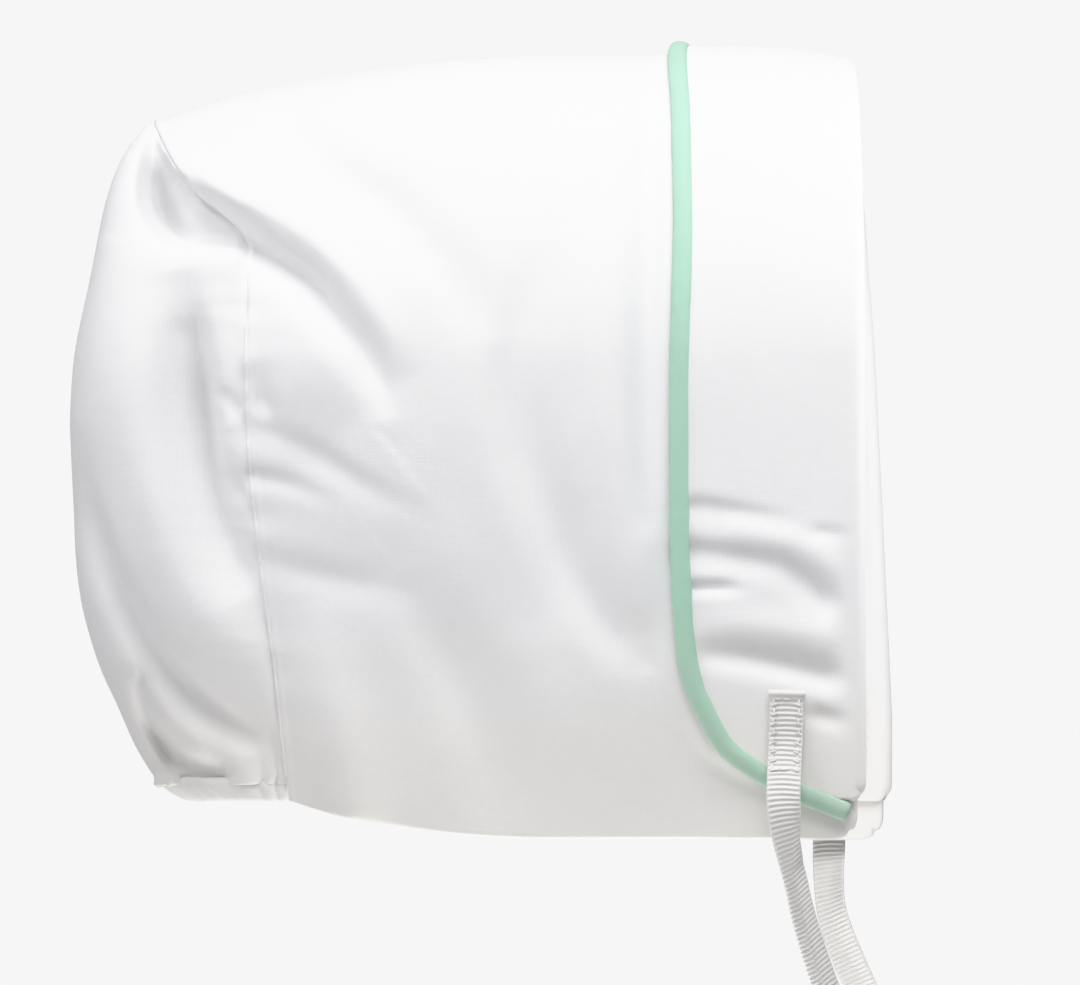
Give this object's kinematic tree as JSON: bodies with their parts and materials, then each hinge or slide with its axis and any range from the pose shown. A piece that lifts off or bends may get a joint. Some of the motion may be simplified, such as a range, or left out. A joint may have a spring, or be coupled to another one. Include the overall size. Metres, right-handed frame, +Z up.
{
  "type": "christening hat",
  "caption": "Baby's soft cotton christening hat with a gathered back, a turned-back brim edged with mint piping, and grosgrain ribbon ties.",
  "frame": {"origin": "the point of the crown's inner face that sits on top of the head, on the hat's middle plane", "axes": "+X out of the face opening, +Y towards the wearer's left, +Z up; the hat is upright as worn"},
  "size_m": [0.1536, 0.1169, 0.1849],
  "materials": {
    "cotton": "fine white cotton, matt",
    "cuff_cotton": "fine white cotton in two layers, matt",
    "mint_piping": "mint-green cotton over a round cord",
    "grosgrain": "white ribbed ribbon with a soft sheen"
  },
  "bodies": {
    "root": {"crown_band": "cotton", "back_panel": "cotton", "nape_casing": "cotton", "turnback_cuff": "cuff_cotton", "piping": "mint_piping", "tie_right": "grosgrain", "tie_left": "grosgrain"}
  },
  "joints": []
}
